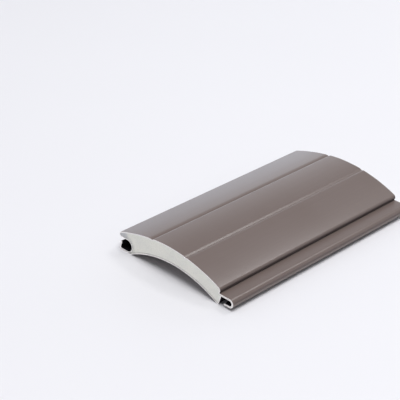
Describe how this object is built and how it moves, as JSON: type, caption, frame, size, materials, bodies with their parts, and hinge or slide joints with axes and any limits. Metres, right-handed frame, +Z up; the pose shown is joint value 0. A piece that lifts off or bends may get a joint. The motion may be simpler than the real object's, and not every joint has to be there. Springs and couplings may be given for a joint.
{
  "type": "roller shutter slat",
  "caption": "Cut length of a curved, foam-filled, roll-formed aluminium roller shutter slat, with a pocket and lip under its nose and a hook along its other edge to join the next slat.",
  "frame": {"origin": "on the floor, under the middle of the slat's box", "axes": "+X across the slat from the nose and pocket to the hook, +Y along its length, +Z up through the crown of the face"},
  "size_m": [0.0618, 0.101, 0.013],
  "materials": {
    "coated_aluminium": "satin taupe stove enamel, bare bright metal on the sawn edges",
    "foam": "pale rigid foam, sawn, with fine pores"
  },
  "bodies": {
    "root": {"aluminium_skin": "coated_aluminium", "foam_core": "foam"}
  },
  "joints": []
}
